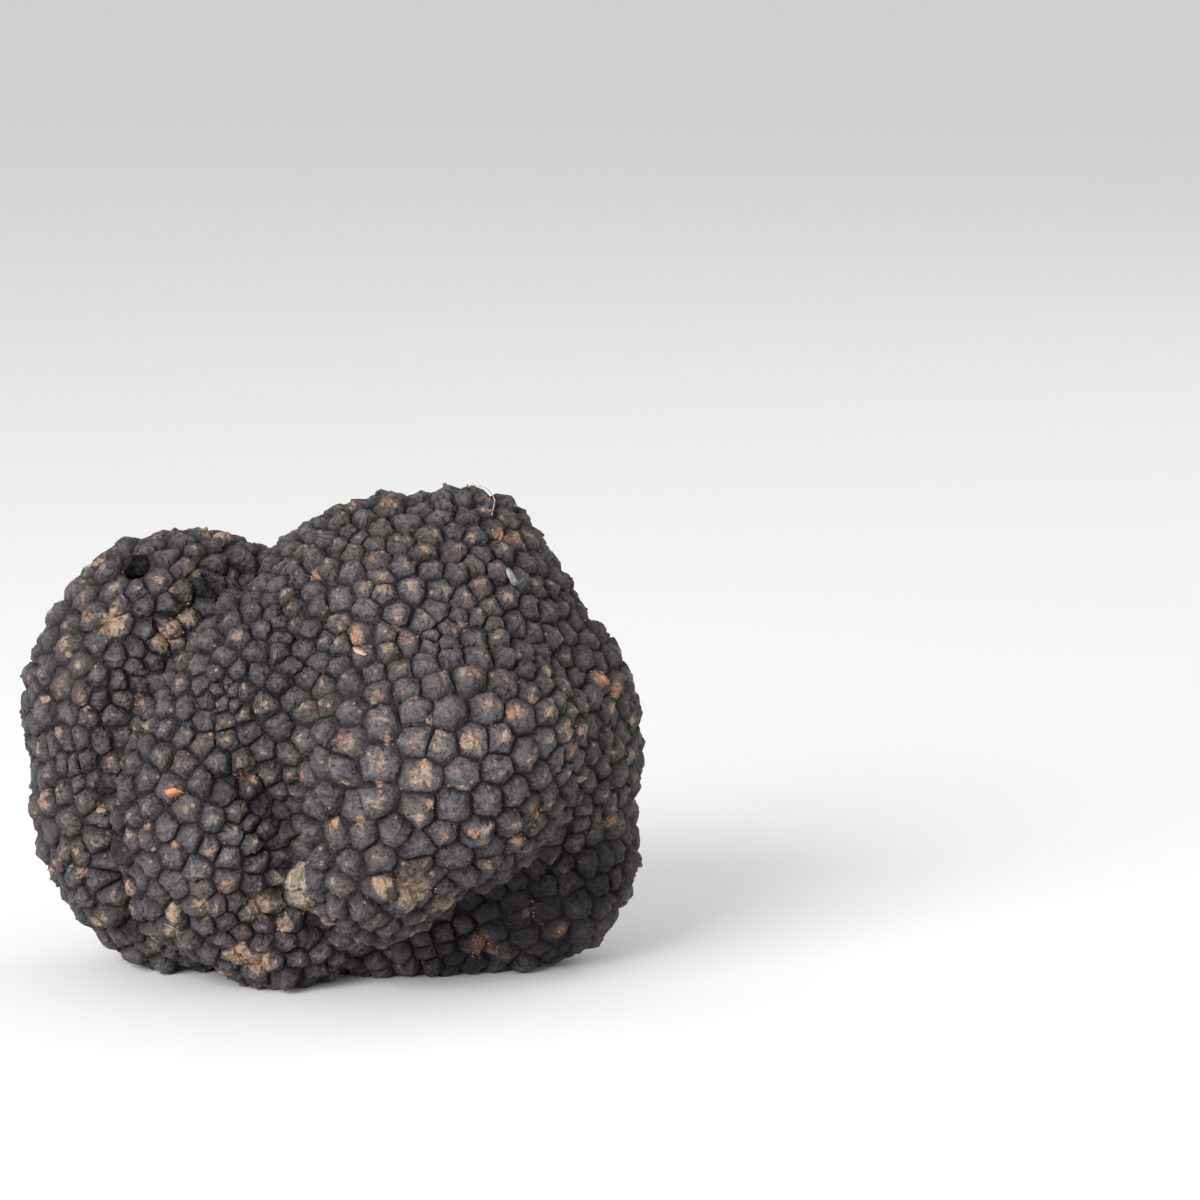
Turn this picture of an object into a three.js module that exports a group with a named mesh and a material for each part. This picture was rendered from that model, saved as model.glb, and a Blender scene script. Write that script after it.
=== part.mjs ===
// A black truffle: one solid, knobbly fruiting body, covered all over in low many-sided warts.
// Millimetres. +X is to the right of its broad face, +Y to the back, +Z up, and it rests on z = 0.
//
// The body is a soft union of rounded lobes, with creases pressed in where the lobes have grown
// together. Wart centres are spread evenly over it, and each wart is a low pyramid on the patch of skin
// nearest its centre, so the edges of the patches are the net of grooves between the warts. One patch
// is a worm hole, which goes down where the others rise, and one is a knob.
import * as THREE from "three";
import { ConvexHull } from "three/addons/math/ConvexHull.js";

// Driving dimensions, in millimetres. The whole body is scaled to the width at the end.
const WIDTH = 60;
const CROWN_HEIGHT = 0.45;
const GROOVE_DEPTH = 0.5;
const WORM_HOLE_DEPTH = 4;
const KNOB_HEIGHT = 1.1;
const LOBE_BLEND = 0.7;
const SWELL_HEIGHT = 0.4;
const SWELL_LENGTH = 13;

// The distance from wart to wart, and what it is multiplied by where the warts are widest and in folds
const WART_SPACING = 2.75;
const WORM_HOLE_SPACING = 3.3;
const KNOB_SPACING = 2.6;
const WIDEST_GAIN = 1.6;
const WIDEST_PLACE = new THREE.Vector3(5, -21.9, 22);
const WIDEST_REACH = 11;
const FOLD_GAIN = 0.78;

// How warts differ: shares of the spacing, the crown height and the groove depth
const WART_COUNT = 1300;
const SIZE_RANGE = { least: 0.6, most: 1.4 };
const HEIGHT_RANGE = { least: 0.65, most: 1.25 };
const DEPTH_RANGE = { least: 0.8, most: 1.2 };
const CROWN_SHIFT = 0.3;

// The spreading of the warts: from a ball of about the body's size, shaken, and then pushed apart
const BALL_MIDDLE = new THREE.Vector3(1.5, 0, 23);
const BALL_RADIUS = 27;
const BALL_SHAKE = 0.09;
const SPREADING_PASSES = 60;
const PUSH_REACH = 0.75;
const PUSH_STRENGTH = 0.35;

// A middle that every part of the surface can be seen from, a ray length that is past it all, and how
// the place where a ray leaves the body is found
const CORE = new THREE.Vector3(-3, 4, 22);
const RAY_LENGTH = 60;
const RAY_STEPS = 60;
const RAY_STEP_SHARE = 0.8;
const RAY_TOLERANCE = 0.005;
const NORMAL_REACH = 0.6;

const TURNING_PASSES = 30;
const LEAST_CORNER_WEIGHT = 0.15;
const CREASE_STEPS = 24;
const CREASE_END_STEEPNESS = 4;

// Each lobe is an ellipsoid: its centre, its three radii, and its lean about Y in degrees
const LOBES = [
  { name: "main dome", centre: [7.2, 3, 26.6], radii: [19.2, 19, 20.6], lean: 0 },
  { name: "top of the dome", centre: [11.5, 3, 28.6], radii: [12.6, 14, 19.3], lean: 8 },
  { name: "right side", centre: [17, 3, 22.6], radii: [13.6, 14.5, 15.9], lean: 0 },
  { name: "shoulder", centre: [-4, -2.5, 25], radii: [13, 13.5, 15], lean: -45 },
  { name: "belly", centre: [10, -7.5, 23], radii: [13.5, 15.2, 16], lean: 67 },
  { name: "chin", centre: [4.5, -9, 14.5], radii: [9, 12, 9.5], lean: 0 },
  { name: "left column", centre: [-11.3, -5.2, 16], radii: [10, 12, 14], lean: -15 },
  { name: "front foot", centre: [-4.8, -4.4, 7.5], radii: [7.8, 9, 8.6], lean: 0 },
  { name: "upper left lobe", centre: [-17, 5, 28.6], radii: [12.8, 12, 16], lean: 37 },
  { name: "lower left lobe", centre: [-18, 3.4, 14.5], radii: [11, 12, 14.6], lean: -25 },
  { name: "left foot", centre: [-15, 4, 7.6], radii: [8.6, 9, 8.6], lean: 0 },
  { name: "right foot", centre: [17.8, 4.6, 12], radii: [12.4, 11, 12.9], lean: 0 },
  { name: "keel", centre: [7, 1, 9.2], radii: [12, 8, 10.4], lean: 0 },
  { name: "back lobe", centre: [-2, 12, 20], radii: [16, 11.5, 15], lean: 0 },
  { name: "back foot", centre: [1, 10, 11], radii: [12, 10, 11.8], lean: 0 },
].map((lobe) => ({
  centre: new THREE.Vector3(...lobe.centre),
  radii: new THREE.Vector3(...lobe.radii),
  unlean: new THREE.Quaternion().setFromAxisAngle(
    new THREE.Vector3(0, 1, 0),
    -THREE.MathUtils.degToRad(lobe.lean),
  ),
}));

// Each crease is a curve through points near the skin, with how deep it is and how far it spreads
const CREASES = [
  {
    name: "down from the notch",
    points: [[-6.5, 5, 40], [-8.5, 0, 39.8], [-11, -3, 38], [-14, -6, 34.8], [-17, -6.7, 31.4], [-18.5, -7, 27]],
    depth: 2.1,
    spread: 2.1,
  },
  {
    name: "left of the column",
    points: [[-18.5, -7, 27], [-20.4, -8.6, 21], [-20.9, -8.3, 15], [-20.3, -6, 9], [-20, -4.5, 5]],
    depth: 1.7,
    spread: 1.7,
  },
  {
    name: "between the column and the belly",
    points: [[-13, -11, 32], [-9.2, -14.9, 27.3], [-6.7, -15.2, 22.9], [-5.9, -15.1, 18.3], [-3.6, -14.5, 13.6]],
    depth: 0.9,
    spread: 3.2,
  },
  {
    name: "under the belly's left end",
    points: [[-3.6, -14.5, 16], [-2.4, -16, 12.5], [-1, -14.5, 8.6], [0.3, -10.3, 4]],
    depth: 2,
    spread: 1.8,
  },
  {
    name: "across the back",
    points: [[-12, 15, 38], [-7, 20, 31], [0, 22.5, 27], [6, 22.5, 24], [11, 19, 17], [13, 15, 8]],
    depth: 1.5,
    spread: 2.2,
  },
].map((crease) => {
  const curve = new THREE.CatmullRomCurve3(crease.points.map((point) => new THREE.Vector3(...point)));
  return { ...crease, steps: curve.getSpacedPoints(CREASE_STEPS) };
});

// The two warts that have a place, a width and a height of their own: where they are, seen from the core
const PLACED_WARTS = [
  {
    name: "worm hole",
    direction: new THREE.Vector3(-14.1, -4, 17.1).normalize(),
    spacing: WORM_HOLE_SPACING,
    rise: -WORM_HOLE_DEPTH,
  },
  {
    name: "knob",
    direction: new THREE.Vector3(0.3, -18.6, -10.3).normalize(),
    spacing: KNOB_SPACING,
    rise: KNOB_HEIGHT,
  },
];

// Returns a function that gives the same numbers from 0 to 1, in the same order, on every run
function seededRandom(seed) {
  let state = seed;
  return () => {
    state = (state + 0x6d2b79f5) | 0;
    let t = Math.imul(state ^ (state >>> 15), 1 | state);
    t = (t + Math.imul(t ^ (t >>> 7), 61 | t)) ^ t;
    return ((t ^ (t >>> 14)) >>> 0) / 4294967296;
  };
}

function between(range, share) {
  return THREE.MathUtils.lerp(range.least, range.most, share);
}

// About how far a point lies outside one lobe
function lobeDistance(point, lobe) {
  const local = point.clone().sub(lobe.centre).applyQuaternion(lobe.unlean).divide(lobe.radii);
  const share = local.length();
  const slope = local.divide(lobe.radii).length();
  return slope > 0 ? (share * (share - 1)) / slope : -lobe.radii.x;
}

// A slow rise and fall of the skin, from -1 to 1
function swell(point) {
  const turn = (2 * Math.PI) / SWELL_LENGTH;
  const across = Math.sin(turn * point.x + 1.1 * Math.sin(turn * 0.6 * point.z));
  const along = Math.sin(turn * point.y * 0.9 + 2) * Math.cos(turn * 0.8 * point.z + 0.7);
  return (across + along) / 2;
}

// How strongly a crease acts at a point, from 0 to 1. It dies away to the sides and at both ends.
function creasePull(point, crease) {
  let pull = 0;
  crease.steps.forEach((step, i) => {
    const share = i / CREASE_STEPS;
    const fade = Math.min(1, CREASE_END_STEEPNESS * Math.min(share, 1 - share));
    pull = Math.max(pull, fade * Math.exp(-point.distanceToSquared(step) / crease.spread ** 2));
  });
  return pull;
}

// About how far a point lies outside the body, and how deep in a fold it is, from 0 to 1
function bodyDistance(point) {
  const distances = LOBES.map((lobe) => lobeDistance(point, lobe));
  const nearest = Math.min(...distances);
  const sum = distances.reduce((total, distance) => total + Math.exp((nearest - distance) / LOBE_BLEND), 0);
  const pulls = CREASES.map((crease) => creasePull(point, crease));
  const sink = pulls.reduce((total, pull, i) => total + pull * CREASES[i].depth, 0);
  return {
    distance: nearest - LOBE_BLEND * Math.log(sum) - SWELL_HEIGHT * swell(point) + sink,
    fold: Math.min(1, Math.max(Math.log(sum), ...pulls)),
  };
}

// Where the ray from the core in a direction leaves the body
function surfacePoint(direction) {
  const point = new THREE.Vector3();
  let travelled = RAY_LENGTH;
  for (let step = 0; step < RAY_STEPS; step++) {
    point.copy(CORE).addScaledVector(direction, travelled);
    const { distance } = bodyDistance(point);
    travelled -= RAY_STEP_SHARE * distance;
    if (Math.abs(distance) < RAY_TOLERANCE) break;
  }
  return point;
}

function surfaceNormal(point) {
  const slope = ["x", "y", "z"].map((axis) => {
    const ahead = point.clone();
    const behind = point.clone();
    ahead[axis] += NORMAL_REACH;
    behind[axis] -= NORMAL_REACH;
    return bodyDistance(ahead).distance - bodyDistance(behind).distance;
  });
  return new THREE.Vector3(...slope).normalize();
}

// The distance wanted between warts: widest low on the broad face, and closer in the folds
function wartSpacing(point) {
  const nearWidest = Math.exp(-point.distanceToSquared(WIDEST_PLACE) / WIDEST_REACH ** 2);
  const gain = 1 + (WIDEST_GAIN - 1) * nearWidest;
  return WART_SPACING * gain * (1 + (FOLD_GAIN - 1) * bodyDistance(point).fold);
}

// The wart centres before they are pushed apart: an even spiral on a ball, shaken
function scatterWarts(random) {
  const goldenAngle = Math.PI * (3 - Math.sqrt(5));
  const warts = [];
  for (let i = 0; i < WART_COUNT; i++) {
    const z = 1 - (2 * i + 1) / WART_COUNT;
    const r = Math.sqrt(1 - z * z);
    const place = new THREE.Vector3(r * Math.cos(i * goldenAngle), r * Math.sin(i * goldenAngle), z);
    const shake = new THREE.Vector3(random(), random(), random()).subScalar(0.5).multiplyScalar(BALL_SHAKE);
    place.add(shake).multiplyScalar(BALL_RADIUS).add(BALL_MIDDLE);
    warts.push({
      direction: place.sub(CORE).normalize(),
      size: between(SIZE_RANGE, random()),
      height: between(HEIGHT_RANGE, random()),
      lean: new THREE.Vector3(random(), random(), random()).subScalar(0.5),
    });
  }
  for (const placed of PLACED_WARTS) {
    const nearest = warts.reduce((best, wart) =>
      wart.direction.dot(placed.direction) > best.direction.dot(placed.direction) ? wart : best,
    );
    nearest.placed = placed;
    nearest.direction.copy(placed.direction);
  }
  return warts;
}

// Wart centres on the body's surface, pushed apart until each has the room that it wants
function spreadWarts(random) {
  const warts = scatterWarts(random);
  for (let pass = 0; pass < SPREADING_PASSES; pass++) {
    for (const wart of warts) {
      wart.point = surfacePoint(wart.direction);
      wart.spacing = wart.placed ? wart.placed.spacing : wart.size * wartSpacing(wart.point);
      wart.push = new THREE.Vector3();
    }
    warts.forEach((a, i) => {
      for (let j = i + 1; j < warts.length; j++) {
        const b = warts[j];
        const reach = PUSH_REACH * (a.spacing + b.spacing);
        const distance = a.point.distanceTo(b.point);
        if (distance >= reach) continue;
        const strength = (PUSH_STRENGTH * (1 - distance / reach) ** 2 * reach) / Math.max(distance, 0.1);
        const away = a.point.clone().sub(b.point).multiplyScalar(strength);
        a.push.add(away);
        b.push.sub(away);
      }
    });
    for (const wart of warts) {
      if (!wart.placed) wart.direction.copy(wart.point).add(wart.push).sub(CORE).normalize();
    }
  }
  for (const wart of warts) wart.point = surfacePoint(wart.direction);
  return warts;
}

// The angle at corner c of the triangle a, b, c
function cornerAngle(a, b, c) {
  return a.clone().sub(c).angleTo(b.clone().sub(c));
}

// Triangles that join each wart centre to its neighbours, as triples of indices that turn outwards
function joinNeighbours(warts) {
  const onSphere = warts.map((wart) => wart.direction.clone());
  const index = new Map(onSphere.map((point, i) => [point, i]));
  const triangles = new ConvexHull().setFromPoints(onSphere).faces.map((face) => {
    const corners = [];
    let edge = face.edge;
    do {
      corners.push(index.get(edge.head().point));
      edge = edge.next;
    } while (edge !== face.edge);
    return corners;
  });

  // The hull is right for a sphere. An edge is turned where the body's own surface wants the other one.
  for (let turned = true, pass = 0; turned && pass < TURNING_PASSES; pass++) {
    turned = false;
    const opposite = facingCorners(triangles);
    const used = new Set();
    for (const [key, here] of opposite) {
      const [a, b] = key.split("_").map(Number);
      const there = opposite.get(`${b}_${a}`);
      if (a > b || used.has(here.triangle) || used.has(there.triangle)) continue;
      if (opposite.has(`${here.corner}_${there.corner}`)) continue;
      const [pa, pb, pc, pd] = [a, b, here.corner, there.corner].map((i) => warts[i].point);
      if (cornerAngle(pa, pb, pc) + cornerAngle(pa, pb, pd) <= Math.PI + 0.01) continue;
      triangles[here.triangle] = [there.corner, b, here.corner];
      triangles[there.triangle] = [here.corner, a, there.corner];
      used.add(here.triangle).add(there.triangle);
      turned = true;
    }
  }
  return triangles;
}

// For each edge "a_b" of a triangle: which triangle it is in, and the triangle's third corner
function facingCorners(triangles) {
  const found = new Map();
  triangles.forEach(([a, b, c], triangle) => {
    found.set(`${a}_${b}`, { triangle, corner: c });
    found.set(`${b}_${c}`, { triangle, corner: a });
    found.set(`${c}_${a}`, { triangle, corner: b });
  });
  return found;
}

// The point of a groove that is as far from three wart centres as it can be without leaving them
function grooveCorner([a, b, c]) {
  const weight = (p, q, r) => Math.max(LEAST_CORNER_WEIGHT, Math.sin(2 * cornerAngle(p, q, r)));
  const weights = [weight(b, c, a), weight(c, a, b), weight(a, b, c)];
  const total = weights[0] + weights[1] + weights[2];
  return [a, b, c].reduce(
    (sum, point, i) => sum.addScaledVector(point, weights[i] / total),
    new THREE.Vector3(),
  );
}

// How strong the relief is at a wart: a wide wart stands higher, and its grooves are deeper
function relief(wart) {
  return Math.sqrt(wart.spacing / WART_SPACING);
}

// The top of a wart, moved a little off its middle, or the bottom of the worm hole
function crownPoint(wart) {
  const up = surfaceNormal(wart.point);
  if (wart.placed) return wart.point.clone().addScaledVector(up, wart.placed.rise);
  const top = wart.point.clone().addScaledVector(up, CROWN_HEIGHT * wart.height * relief(wart));
  return top.addScaledVector(wart.lean, CROWN_SHIFT * wart.spacing);
}

// The closed skin: every wart is a fan of triangles from its crown to the groove round it
function truffleGeometry() {
  const random = seededRandom(11);
  const warts = spreadWarts(random);
  const triangles = joinNeighbours(warts);

  const crowns = warts.map(crownPoint);
  const corners = triangles.map((triangle) => {
    const middle = grooveCorner(triangle.map((i) => warts[i].point));
    const point = surfacePoint(middle.sub(CORE).normalize());
    const strength = between(DEPTH_RANGE, random()) * Math.min(...triangle.map((i) => relief(warts[i])));
    return point.addScaledVector(surfaceNormal(point), -GROOVE_DEPTH * strength);
  });

  const points = [...crowns, ...corners];
  const faces = [];
  const opposite = facingCorners(triangles);
  for (const [key, here] of opposite) {
    const [a, b] = key.split("_");
    const there = opposite.get(`${b}_${a}`);
    faces.push(Number(a), crowns.length + there.triangle, crowns.length + here.triangle);
  }

  // What would be below the ground is pressed flat against it, which gives the feet their flat spots
  const positions = points.flatMap((point) => [point.x, point.y, Math.max(0, point.z)]);
  const geometry = new THREE.BufferGeometry();
  geometry.setAttribute("position", new THREE.Float32BufferAttribute(positions, 3));
  geometry.setIndex(faces);

  geometry.computeBoundingBox();
  const middle = geometry.boundingBox.getCenter(new THREE.Vector3());
  const scale = WIDTH / (geometry.boundingBox.max.x - geometry.boundingBox.min.x);
  geometry.translate(-middle.x, -middle.y, 0);
  geometry.scale(scale, scale, scale);
  geometry.computeVertexNormals();
  return geometry;
}

const skin = new THREE.MeshStandardMaterial({ color: 0x2b2623, roughness: 0.85, metalness: 0 });
const truffle = new THREE.Mesh(truffleGeometry(), skin);
truffle.name = "truffle";

const group = new THREE.Group();
group.add(truffle);
export default group;
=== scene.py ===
"""The looks of a black truffle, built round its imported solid.

The solid gives the lobes, and one low pyramid for each wart. The skin made here cuts those pyramids finer,
rounds them into domed warts with narrow grooves between them, and gets its colours from one material.
Small grains of crust stand on it in the same material, and soil crumbs, flakes and root hairs lie on it.
"""

import math
import random
import bmesh
import bpy
import numpy as np
from mathutils import Matrix, Vector, noise
from mathutils.bvhtree import BVHTree


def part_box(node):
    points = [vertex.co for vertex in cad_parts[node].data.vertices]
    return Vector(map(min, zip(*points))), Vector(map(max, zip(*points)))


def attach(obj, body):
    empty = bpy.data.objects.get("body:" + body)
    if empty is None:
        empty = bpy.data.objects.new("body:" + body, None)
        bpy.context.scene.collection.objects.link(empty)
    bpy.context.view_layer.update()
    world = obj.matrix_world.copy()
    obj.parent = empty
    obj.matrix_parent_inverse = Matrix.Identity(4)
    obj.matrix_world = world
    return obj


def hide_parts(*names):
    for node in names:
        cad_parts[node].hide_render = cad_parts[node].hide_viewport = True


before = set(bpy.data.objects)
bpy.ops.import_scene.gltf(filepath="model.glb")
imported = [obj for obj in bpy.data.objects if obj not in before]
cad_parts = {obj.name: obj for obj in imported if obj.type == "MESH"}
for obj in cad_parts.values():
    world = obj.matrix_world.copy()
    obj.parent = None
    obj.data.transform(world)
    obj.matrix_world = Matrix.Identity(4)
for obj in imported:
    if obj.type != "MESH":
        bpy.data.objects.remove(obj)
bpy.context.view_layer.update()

bl_info = {
    "name": "Black truffle",
    "version": (1, 0, 0),
    "blender": (4, 5, 0),
    "location": "3D View > Sidebar > Truffle",
    "description": "Builds the warty skin of a black truffle, the soil on it and a small studio",
    "category": "Add Mesh",
}

MM = 0.001
SOLID_LOW, SOLID_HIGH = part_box("truffle")
SOLID_MIDDLE = (SOLID_LOW + SOLID_HIGH) / 2

# The picture's side, and where the truffle's middle stands in it, in pixels
PICTURE_SIDE = 1200
TRUFFLE_MIDDLE_X = 331
TRUFFLE_MIDDLE_Y = 731

# Stains on the skin where the picture shows them: pixel x and y, and radius in millimetres
SOIL_STAINS = {
    "crease by the notch": (186, 616, 1.7),
    "crease middle": (175, 628, 1.4),
    "crease lower end": (164, 641, 1.6),
    "knob below the hole": (196, 572, 0.9),
    "left lobe patch": (111, 623, 2.0),
    "left lobe top": (98, 561, 1.3),
    "big wart stripe": (303, 872, 1.5),
    "big wart stripe middle": (300, 885, 1.4),
    "big wart stripe low": (305, 898, 1.5),
    "big wart stripe end": (309, 910, 1.1),
    "fold mouth": (328, 922, 1.2),
    "belly patch": (413, 888, 2.8),
    "belly patch right": (440, 902, 2.1),
    "belly patch left": (384, 884, 1.4),
    "column": (170, 912, 1.4),
    "column low": (177, 930, 1.3),
    "column right": (205, 905, 1.7),
    "column knob": (262, 905, 1.8),
    "bottom left": (240, 956, 2.1),
    "bottom right": (262, 962, 2.0),
    "front foot side": (284, 926, 1.3),
    "belly dot": (386, 739, 0.9),
    "belly long dot": (442, 732, 1.0),
    "belly upper dot": (430, 719, 0.7),
    "belly third dot": (467, 742, 0.9),
    "belly left dot": (374, 702, 0.6),
    "dome dot": (461, 627, 0.8),
    "dome left dot": (396, 627, 0.8),
    "dome top dot": (471, 535, 0.6),
    "crease star": (171, 589, 0.7),
    "left lobe side": (68, 655, 0.5),
    "left lobe middle": (139, 700, 0.9),
    "left lobe low dot": (85, 708, 0.7),
    "left lobe edge dot": (47, 699, 0.7),
    "left lobe side low": (59, 731, 0.7),
    "left crease dot": (100, 808, 0.8),
    "left foot dot": (83, 872, 0.8),
    "left foot edge": (99, 922, 0.8),
    "column side": (128, 834, 1.1),
    "column side top": (147, 826, 0.7),
    "column foot": (126, 888, 1.3),
    "column foot low": (131, 910, 0.9),
    "belly low dot": (417, 780, 0.9),
    "belly low left dot": (381, 785, 0.8),
    "belly far left dot": (345, 783, 0.7),
    "belly middle dot": (462, 788, 0.7),
    "belly low right dot": (486, 831, 1.0),
    "belly right dot": (492, 725, 0.7),
    "right streak": (547, 670, 0.9),
    "right streak low": (561, 642, 0.8),
    "dome edge dot": (540, 553, 0.6),
    "dome edge low dot": (534, 581, 0.7),
    "dome right dot": (518, 656, 0.7),
    "right side dot": (581, 732, 0.8),
    "right side low dot": (578, 782, 0.9),
    "right edge dot": (611, 752, 0.9),
    "right edge outer dot": (630, 760, 0.9),
    "right edge top dot": (633, 718, 0.9),
    "left edge": (40, 800, 1.5),
    "left foot": (52, 872, 1.1),
}
# Where the skin is paler with dust
DUSTY_PATCHES = {
    "belly": (420, 760, 8.0),
    "belly right": (490, 740, 5.0),
    "right side": (565, 730, 5.0),
    "dome": (390, 600, 6.0),
    "column": (210, 850, 4.0),
}
# Where the skin is very pale
PALE_PATCHES = {
    "big wart": (298, 887, 3.4),
}
RUST_STAINS = {
    "right edge": (601, 676, 1.2),
    "right edge low": (618, 690, 1.3),
    "dome": (318, 576, 1.05),
    "flake bed": (173, 792, 0.9),
    "valley": (241, 776, 1.0),
    "valley second": (253, 779, 0.7),
    "dome middle": (357, 636, 1.1),
    "belly left": (333, 822, 0.9),
    "belly middle": (362, 822, 0.9),
    "belly right": (431, 804, 0.9),
    "belly low": (446, 838, 0.8),
    "belly edge": (518, 842, 1.0),
    "column": (175, 844, 0.7),
    "right side": (610, 820, 1.1),
    "belly upper orange": (511, 714, 0.8),
    "belly right orange": (534, 700, 0.8),
    "belly dot orange": (423, 764, 0.7),
    "belly low orange": (473, 834, 0.8),
    "right low orange": (538, 814, 0.9),
    "brown dome top": (501, 534, 1.1),
    "dome top orange": (426, 548, 0.8),
    "dark side": (480, 948, 2.2),
    "dark side right": (528, 913, 0.9),
    "dark side low": (560, 932, 1.2),
}
# Painted shade: where the skin is painted nearly black, in the deep folds, under the belly and on the shaded
# low right side
PAINTED_SHADE_PATCHES = {
    "low right": (525, 910, 8.0),
    "low right edge": (590, 885, 6.0),
    "right foot": (560, 940, 5.0),
    "under the belly": (460, 955, 5.0),
    "under the big wart": (311, 925, 1.6),
    "left of the big wart": (278, 890, 1.1),
    "over the big wart": (283, 868, 1.0),
    "notch": (206, 584, 2.0),
    "notch low": (196, 594, 1.5),
    "notch lower": (180, 606, 1.2),
    "valley": (232, 780, 1.6),
    "valley low": (262, 800, 1.4),
    "left crease": (106, 790, 1.2),
    "left crease low": (114, 850, 1.4),
    "left foot": (128, 925, 2.2),
}
# The middle of the big wart in the front fold: pixel x and y
BIG_WART = (303, 889)
# The root hair's course in the picture: pixel x and y, and height above the skin in millimetres
ROOT_HAIR = (
    (468, 489, 0.2),
    (474, 489, 0.8),
    (481, 493, 1.0),
    (487, 500, 0.9),
    (490, 507, 0.6),
    (491, 515, 0.1),
)
# Flakes by colour: pixel x and y, length and width in millimetres, and lean of the long side in degrees
FLAKES = {
    "grey": ((511, 580, 2.1, 0.8, -58),),
    "pink": ((361, 652, 1.9, 0.7, -45), (172, 926, 1.9, 0.4, 85)),
    "orange": ((174, 792, 1.8, 0.9, -8), (604, 680, 1.2, 0.7, -30)),
}
FLOOR_RADIUS = 12

# The solid's shape: the spread of smoothing that folds are measured with, and a middling wart's radius
FOLD_SMOOTHING = 40
DEEPEST_FOLD = 1.5 * MM
WART_RADIUS = 1.4 * MM
# The worm hole's rings: share of the way to its bottom, share of its radius, and depth in millimetres
WORM_HOLE_RINGS = ((0, 1, 0), (0.2, 1, 0), (0.4, 0.96, 0.35), (0.6, 0.92, 2.2), (0.8, 0.75, 4.4), (1, 0, 6))
# Sizes of the skin's unevenness: of its lumps, of its fine lumps, of the grooves' bends and of their depth
LUMP_SIZE = 1.1 * MM
FINE_LUMP_SIZE = 0.6 * MM
BEND_SIZE = 1.6 * MM
UNEVEN_SIZE = 2.2 * MM
# The big wart, in its own radii: how far its middle lies behind the skin, how far it pulls, and its lumps
BIG_WART_SINK = 0.5
BIG_WART_REACH = 1.625
BIG_WART_LUMPS = 0.07
# How many times each of the three waves that make a wart's furrows runs round it
FURROW_WAVES = (3, 5, 8)
# A crumb, in its own radius: least and most half width, how far its corners stray, and its furthest reach
CRUMB_WIDTHS = (0.7, 1.05)
CRUMB_STRAY = 0.12
CRUMB_REACH = 1.3
# How far a stain's edge lies from its middle, in its radii
STAIN_REACH = 1.3
# Steps between two points of a root hair, and how much of its radius is left after each
HAIR_STEPS = 5
HAIR_TAPER = 0.975
# A flake: its corners, where along its length it feels for the skin and from how high, and its gap
FLAKE_CORNERS = 14
FLAKE_FEELERS = (-0.4, -0.2, 0, 0.2, 0.4)
FEELER_HEIGHT = 2 * MM
FLAKE_LIFT = 0.03 * MM
# The sides of the large light and of the small one behind, in metres
KEY_SIDE = 0.5
RIM_SIDE = 0.4
# Each kind of stain, and the painted shade: where it is seen, how many are unseen, their least and largest
# radius, and a seed
STAINS = {
    "dusty": (DUSTY_PATCHES, 6, (4, 8), 23),
    "pale": (PALE_PATCHES, 2, (1.0, 1.6), 24),
    "soil": (SOIL_STAINS, 24, (0.8, 2.4), 21),
    "rust": (RUST_STAINS, 14, (0.5, 1.2), 22),
    # Not a stain: the patches of painted shade
    "dark": (PAINTED_SHADE_PATCHES, 0, (0, 0), 0),
}
# Seeds of the random numbers
SKIN_SEED = 5
SOIL_CRUMB_SEED = 31
RUST_CRUMB_SEED = 32
GRAIN_SEED = 33
FLAKE_SEED = 41
HAIR_SEED = 51
# The numbers of the skin that a crust grain copies, the painted shade among them
GRAIN_NUMBERS = ("crown", "soil", "rust", "dark", "dusty", "pale")


def length_setting(name, description, default):
    """A length that the user may change, in metres."""
    return bpy.props.FloatProperty(name=name, description=description, default=default, unit="LENGTH")


def number_setting(name, description, default):
    """A plain number that the user may change."""
    return bpy.props.FloatProperty(name=name, description=description, default=default)


def count_setting(name, description, default):
    """A whole number that the user may change."""
    return bpy.props.IntProperty(name=name, description=description, default=default)


def power_setting(name, description, default):
    """A light's power that the user may change."""
    return bpy.props.FloatProperty(name=name, description=description, default=default, subtype="POWER")


def colour_setting(name, description, default):
    """A colour that the user may change."""
    return bpy.props.FloatVectorProperty(
        name=name, description=description, default=default, subtype="COLOR"
    )


def place_setting(name, description, default):
    """A place that the user may change, in metres."""
    return bpy.props.FloatVectorProperty(
        name=name, description=description, default=default, subtype="XYZ"
    )


class StageSettings(bpy.types.PropertyGroup):
    """The camera, the floor and the lights"""

    camera_distance: length_setting(
        "Camera distance", "From the camera to the plane through the truffle's middle", 0.5
    )
    camera_elevation: bpy.props.FloatProperty(
        name="Camera elevation",
        description="How far the camera looks down",
        default=math.radians(8),
        subtype="ANGLE",
    )
    pixels_per_mm: number_setting(
        "Pixels per millimetre", "The picture's scale at the truffle's middle", 10.5
    )
    floor_colour: colour_setting("Floor", "Colour of the floor", (0.8, 0.8, 0.8))
    sky_strength: number_setting("Sky strength", "Brightness of the sky straight above", 0.56)
    horizon_strength: number_setting("Horizon strength", "Brightness of the sky at the horizon", 1.12)
    key_place: place_setting("Key place", "Where the large light stands", (-0.4, -0.68, 0.36))
    key_power: power_setting("Key power", "Power of the large light", 10.6)
    rim_place: place_setting("Rim place", "Where the small light behind stands", (0.5, 0.5, 0.6))
    rim_power: power_setting("Rim power", "Power of the small light behind", 1.0)


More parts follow.
